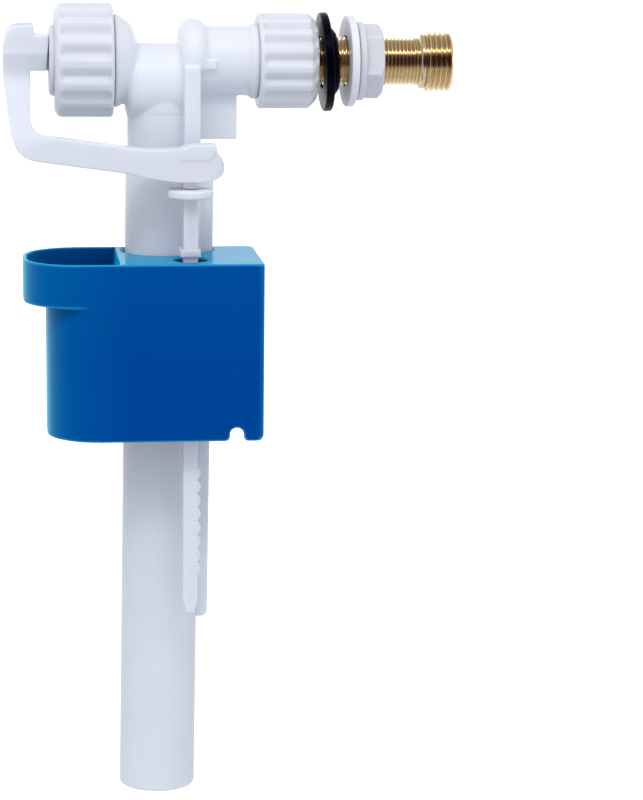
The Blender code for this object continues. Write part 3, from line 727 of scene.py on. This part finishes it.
def float_latch():
    x, y, h = RX, RY, 2.8
    outer = prism([(x - h - 0.7, y - h - 0.7), (x + h + 0.5, y - h - 0.7), (x + h + 0.5, y + h + 0.8),
                   (x - h - 0.7, y + h + 0.8)], -64.6, -62.0, "Z")
    inner = prism([(x - h, y - h), (x + h, y - h), (x + h, y - 1.2), (x + h + 3, y - 1.2), (x + h + 3, y + 1.2),
                   (x + h, y + 1.2), (x + h, y + h), (x - h, y + h)], -66.0, -60.0, "Z")
    cut(outer, inner)
    bevel(outer, 0.16, 2)
    return finish(outer, "float_latch_clip", WHITE_LEVER, "float", ["float_latch"])


# ================================================================ float
def outline(x0, x1, y0, y1, inset, left_r, right_r, steps):
    a, b, c, d = x0 + inset, x1 - inset, y0 + inset, y1 - inset
    left, right = max(left_r - inset, 0.3), max(right_r - inset, 0.3)
    return soft_profile([(a, c), (b, c), (b, d), (a, d)], [left, right, right, left], steps)


def float_shell():
    x0, x1, y0, y1 = -42.0, 31.6, -37.0, 8.5
    cup_x, body_r, band_r = -49.8, 18.0, 19.0
    wall, top, bot = 1.4, -65.85, -127.1
    ob = prism(outline(x0, x1, y0, y1, 0, body_r, 2.0, 24), bot, top - 2, "Z")
    band = prism(outline(cup_x, x1, y0, y1, 0, band_r, 2.0, 26), -80.8, top, "Z")
    union(ob, band)
    slot = cyl(bot - 3, top + 3, 14.8, 96, "Z", (TX, 0, 0))
    union(slot, box(TX, 17.1, -3.0, 3.0, bot - 3, top + 3))
    keep = cyl(bot - 9, top + 9, 16.1, 72, "Z", (TX, 0, 0))
    union(keep, box(TX, 18.5, -4.4, 4.4, bot - 9, top + 9))
    union(keep, box(-14.0, 13.0, 6.0, 20.0, bot - 8, top + 8))
    chamber = prism(outline(x0, x1, y0, y1, wall, body_r, 2.0, 24), bot - 2, top - wall, "Z")
    cut(chamber, box(x0 - 5, -16.09, y0 - 5, y1 + 5, -100.0 - wall, top + 5), keep)
    cup = prism(outline(x0, x1, y0, y1, wall, body_r, 2.0, 24), -100.0, top - 3, "Z")
    brim = prism(outline(cup_x, x1, y0, y1, wall, band_r, 2.0, 26), -80.8 + wall, top + 3, "Z")
    union(cup, brim)
    cut(cup, box(-17.35, x1 + 5, y0 - 5, y1 + 5, -105.0, top + 9))
    hole = cyl(top - 6, top + 4, 6.0, 56, "Z", (RX, RY, 0))
    arch = prism([(18.9, bot - 2), (25.5, bot - 2), (25.5, bot), (24.5, bot + 1.1), (24.5, -124.4)]
                 + [(22.2 + 2.3 * math.cos(t), -124.4 + 2.0 * math.sin(t)) for t in [math.pi * k / 12 for k in range(1, 12)]]
                 + [(19.9, -124.4), (19.9, bot + 1.1), (18.9, bot)], y0 - 2, y0 + 3)
    corner = prism([(30.2, bot), (30.2, bot - 2), (33.6, bot - 2), (33.6, bot + 1.4), (31.6, bot + 1.4)], y0 - 2, y1 + 2)
    cut(ob, slot, chamber, cup, hole, arch, corner)
    mould(ob, 0.42, 13)
    return finish(ob, "float_shell_moulding", BLUE, "float", ["float_shell"], 180)


# ================================================================ down tube
def down_tube():
    top = -35.4
    prof = soft_profile([(-260.2, 11.6), (-260.2, 13.4), (top, 13.4), (top, 9.9), (-24.0, 9.9), (-24.0, 9.0), (top - 3, 9.0), (top - 6, 11.6)],
                        [0.4, 0.5, 0.3, 0.2, 0.2, 0.2, 0.2, 0.2], 4)
    ob = turned(prof, 160, "Z", (TX, 0, 0))
    keel = prism(soft_profile([(TX + 12.4, top - 1.0), (16.3, top - 1.0), (16.3, -198.4), (TX + 12.4, -198.4)],
                              [0, 0.8, 2.2, 0], 6), -2.2, 2.2)
    bevel(keel, 0.45, 3, 60)
    union(ob, keel)
    # the tube is a loose fit in its socket and hangs a little out of square
    ob.data.transform(Matrix.Translation((0.6, 0, top)) @ Matrix.Rotation(math.radians(0.70), 4, "Y")
                      @ Matrix.Translation((0, 0, -top)))
    weighted(ob, 32)
    apply_all(ob)
    return finish(ob, "down_tube_moulding", WHITE_TUBE, "base", ["down_tube"], None)


# ================================================================ brass tail: true helical threads
def thread_depth(a, pitch, depth, t):
    """Whitworth-like form: flanks with rounded crest and root. 0 on the crest."""
    u = (a / pitch - t / (2 * math.pi)) % 1.0
    tri = abs(2 * u - 1)                       # 0 at the crest's middle, 1 at the root's
    return depth * smooth_step((tri - 0.14) / 0.72)


def brass_tail():
    b = 5.6
    fine, coarse = 1.337, 1.814
    pts = soft_profile([(44.4, b), (44.4, 11.4), (46.5, 11.4), (46.5, 9.0), (50.0, 9.0), (50.5, 8.33)],
                       [0.2, 0.3, 0.3, 0.3, 0.2, 0], 4, False)
    a = 50.5
    while a < 87.4:
        a += fine / 10
        pts.append((a, 8.33))
    pts += [(87.9, 7.9), (88.3, 8.6), (88.9, 9.45), (89.2, 9.55), (89.9, 9.55), (90.2, 9.2), (90.5, 9.1), (90.9, 10.45)]
    a = 90.9
    while a < 98.3:
        a += coarse / 12
        pts.append((a, 10.45))
    pts += soft_profile([(98.5, 10.45), (98.8, 10.3), (99.5, 9.6), (99.5, b + 0.8), (98.7, b), (98.0, b)],
                        [0, 0.2, 0.25, 0.3, 0.2, 0], 3, False)

    def radius(a, r, t):
        if r < 8.0 or r > 10.5:
            return r
        if 50.3 < a < 87.6 and r < 8.5:
            f = smooth_step((a - 50.4) / 1.6) * smooth_step((87.6 - a) / 1.2)
            return r - f * thread_depth(a, fine, 0.92, t)
        if 90.6 < a < 99.0:
            f = smooth_step((a - 90.6) / 0.9) * smooth_step((98.9 - a) / 0.8)
            return r - f * thread_depth(a, coarse, 1.25, t)
        return r
    ob = turned(pts, 128, radius=radius)
    return finish(ob, "brass_tail_threaded", BRASS, "base", ["brass_tail"], 50)


# ================================================================ washers and backnut
def rubber_washer():
    prof = soft_profile([(-1.0, 9.2), (-1.0, 17.1), (1.9, 17.1), (2.05, 11.9), (3.5, 11.4), (4.5, 10.0), (4.5, 9.2)],
                        [0.3, 0.7, 0.7, 0.7, 0.8, 0.8, 0.3], 6)
    ob = turned(dense(prof, 0.6), 144)
    for v in ob.data.vertices:                   # a moulded disc is never quite flat
        t = math.atan2(v.co.z, v.co.y)
        k = (math.hypot(v.co.y, v.co.z) / 17.1) ** 2
        v.co.x += 0.06 * k * math.sin(2 * t + 0.6)
    ob.data.transform(Matrix.Translation((55.2, 0, -0.35)) @ Matrix.Rotation(math.radians(-3.0), 4, "Y"))
    return finish(ob, "rubber_washer_moulded", RUBBER, "rubber_washer", ["rubber_washer"], 60)


def plastic_washer():
    prof = soft_profile([(62.7, 8.8), (62.7, 15.8), (65.45, 15.8), (65.45, 8.8)], [0.25, 0.5, 0.5, 0.25], 5)
    ob = turned(dense(prof, 0.8), 144)
    # it is loose on the thread and leans a little
    ob.data.transform(Matrix.Translation((64.1, 0, 0)) @ Matrix.Rotation(math.radians(2.6), 4, "Z")
                      @ Matrix.Translation((-64.1, 0, 0)))
    return finish(ob, "plastic_washer_disc", WHITE, "plastic_washer", ["plastic_washer"], 60)


def backnut():
    collar = turned(soft_profile([(66.6, 8.65), (66.6, 13.7), (68.6, 13.7), (69.4, 12.0), (69.4, 8.65)],
                                 [0.2, 0.5, 0.5, 0.2, 0.2], 4), 120)
    pts = []
    for k in range(6):
        t = math.radians(42.9 + 60 * k)
        pts.append((-13.16 * math.cos(t), 13.16 * math.sin(t)))
    hexagon = prism(soft_profile(pts, [0.5] * 6, 3), 69.0, 75.2, "X")
    cone = turned([(68.0, 0), (68.0, 14.5), (73.6, 13.4), (75.2, 11.6), (75.2, 0)], 120, phase=0.04)
    combine(hexagon, cone, "INTERSECT")
    cut(hexagon, cyl(67.0, 77.2, 8.65, 120, phase=0.0))
    union(collar, hexagon)
    bevel(collar, 0.22, 2, 34)
    weighted(collar, 34)
    apply_all(collar)
    return finish(collar, "backnut_moulding", WHITE_BACKNUT, "backnut", ["backnut"], None)


# ================================================================ build
valve_body()
cap_nut()
union_nut()
bonnet()
lever()
rod_head()
thumbwheel()
float_rod()
float_latch()
float_shell()
down_tube()
brass_tail()
rubber_washer()
plastic_washer()
backnut()

# carried-over CAD nodes keep their shapes and get finished materials
for node, mat in (("inlet_nozzle", WHITE), ("diaphragm", RUBBER), ("diaphragm_plate", GREY), ("pilot_jet", BRASS),
                  ("lever_pin", STEEL), ("pilot_pad", RUBBER), ("tube_seal", RUBBER), ("flow_silencer", GREY),
                  ("tail_gasket", RUBBER), ("inlet_filter", GREY), ("flow_restrictor", GREY)):
    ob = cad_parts[node]
    for s in ob.material_slots:
        s.material = mat

# ================================================================ stage and light
FLOOR_Z = -0.2606
bm = bmesh.new()
bmesh.ops.create_grid(bm, x_segments=24, y_segments=24, size=14.0)
floor = to_object(bm, "studio_floor", recalc=False)
floor.location = (0, 4.0, FLOOR_Z)
fn = Nodes("studio_floor")
fn.set("Base Color", fn.ramp(fn.noise(3, 2), [(0.3, (0.94, 0.94, 0.945)), (0.7, (0.95, 0.95, 0.95))]))
fn.set("Roughness", 0.9)
fn.p.inputs["Specular IOR Level"].default_value = 0.1
fn.p.inputs["Emission Color"].default_value = (1, 1, 1, 1)
fn.p.inputs["Emission Strength"].default_value = 0.45
floor.data.materials.append(fn.m)
floor.visible_glossy = False
floor.visible_diffuse = False
floor.visible_shadow = False

world = bpy.data.worlds.new("studio")
bpy.context.scene.world = world
world.use_nodes = True
wt = world.node_tree
wt.nodes.clear()


def wnode(kind, **props):
    n = wt.nodes.new(kind)
    for k, v in props.items():
        setattr(n, k, v)
    return n


def wramp(fac, stops):
    r = wnode("ShaderNodeValToRGB")
    e = r.color_ramp.elements
    while len(e) > 1:
        e.remove(e[-1])
    e[0].position, e[0].color = stops[0][0], (*stops[0][1], 1)
    for pos, c in stops[1:]:
        e.new(pos).color = (*c, 1)
    wt.links.new(fac, r.inputs["Fac"])
    return r.outputs["Color"]


wout = wnode("ShaderNodeOutputWorld")
bg = wnode("ShaderNodeBackground")
wtc = wnode("ShaderNodeTexCoord")
wsep = wnode("ShaderNodeSeparateXYZ")
wt.links.new(wtc.outputs["Generated"], wsep.inputs[0])
# soft room light: pale ceiling, dimmer and cooler below, a little stronger from the left
lift = wnode("ShaderNodeMath", operation="MULTIPLY_ADD")
wt.links.new(wsep.outputs["X"], lift.inputs[0])
lift.inputs[1].default_value = -0.15
wt.links.new(wsep.outputs["Z"], lift.inputs[2])
half = wnode("ShaderNodeMath", operation="MULTIPLY_ADD")
wt.links.new(lift.outputs[0], half.inputs[0])
half.inputs[1].default_value = 0.5
half.inputs[2].default_value = 0.5
room = wramp(half.outputs[0], [(0.0, (0.64, 0.665, 0.72)), (0.5, (0.58, 0.60, 0.635)), (1.0, (0.65, 0.66, 0.69))])
# what polished pieces mirror: the angle round the X axis, from straight ahead (0) over the top
angle = wnode("ShaderNodeMath", operation="ARCTAN2")
neg = wnode("ShaderNodeMath", operation="MULTIPLY")
neg.inputs[1].default_value = -1.0
wt.links.new(wsep.outputs["Y"], neg.inputs[0])
wt.links.new(wsep.outputs["Z"], angle.inputs[0])
wt.links.new(neg.outputs[0], angle.inputs[1])
turn = wnode("ShaderNodeMath", operation="MULTIPLY_ADD")
wt.links.new(angle.outputs[0], turn.inputs[0])
turn.inputs[1].default_value = 1 / (2 * math.pi)
turn.inputs[2].default_value = 0.5


def at(deg):
    return deg / 360.0 + 0.5


def g(v, tint=(1, 1, 1)):
    return tuple(v * c for c in tint)


RED = (1.2, 0.10, 0.22)
mirror = wramp(turn.outputs[0], [
    (at(-180), g(1.4)), (at(-158), g(0.80)), (at(-120), g(0.72)), (at(-60), g(0.64)), (at(-28), g(0.40)), (at(-18), g(0.03, RED)),
    (at(30), g(0.02, RED)), (at(40), g(0.24)), (at(60), g(0.44)), (at(110), g(0.40)), (at(148), g(0.60)),
    (at(166), g(1.6, (0.94, 1.0, 1.06))), (at(180), g(1.6))])
path = wnode("ShaderNodeLightPath")
pick = wnode("ShaderNodeMix", data_type="RGBA")
wt.links.new(path.outputs["Is Glossy Ray"], pick.inputs["Factor"])
sock = {(s.name, s.type): s for s in pick.inputs}
wt.links.new(room, sock[("A", "RGBA")])
wt.links.new(mirror, sock[("B", "RGBA")])
wt.links.new([s for s in pick.outputs if s.type == "RGBA"][0], bg.inputs["Color"])
bg.inputs["Strength"].default_value = 1.0
wt.links.new(bg.outputs[0], wout.inputs["Surface"])


def sun(name, azimuth, elevation, strength, angle, colour=(1, 1, 1), glossy=True):
    """azimuth 0 shines from the front (-Y), 90 from +X."""
    lamp = bpy.data.lights.new(name, "SUN")
    lamp.energy = strength
    lamp.angle = math.radians(angle)
    lamp.color = colour
    ob = bpy.data.objects.new(name, lamp)
    bpy.context.scene.collection.objects.link(ob)
    a, e = math.radians(azimuth), math.radians(elevation)
    source = Vector((math.sin(a) * math.cos(e), -math.cos(a) * math.cos(e), math.sin(e)))
    ob.rotation_euler = source.to_track_quat("Z", "Y").to_euler()
    ob.visible_glossy = glossy
    return ob


def panel(name, at, target, size, power, colour=(1, 1, 1)):
    lamp = bpy.data.lights.new(name, "AREA")
    lamp.shape = "RECTANGLE"
    lamp.size, lamp.size_y = size
    lamp.energy = power
    lamp.color = colour
    ob = bpy.data.objects.new(name, lamp)
    bpy.context.scene.collection.objects.link(ob)
    ob.location = at
    ob.rotation_euler = (Vector(at) - Vector(target)).to_track_quat("Z", "Y").to_euler()
    return ob


sun("key", -38, 52, 0.85, 40, glossy=False)
sun("fill", 28, -12, 0.36, 60, colour=(0.95, 0.98, 1.0), glossy=False)
# a strip softbox, 50 degrees up at the front, for the line of light along round glossy pieces
panel("strip", (0.00, -0.90, 1.08), (0.03, 0, 0.0), (1.5, 0.20), 4.6)

scene = bpy.context.scene
scene.view_settings.view_transform = "Standard"
scene.view_settings.look = "None"
scene.view_settings.exposure = 0.0
scene.view_settings.gamma = 1.0

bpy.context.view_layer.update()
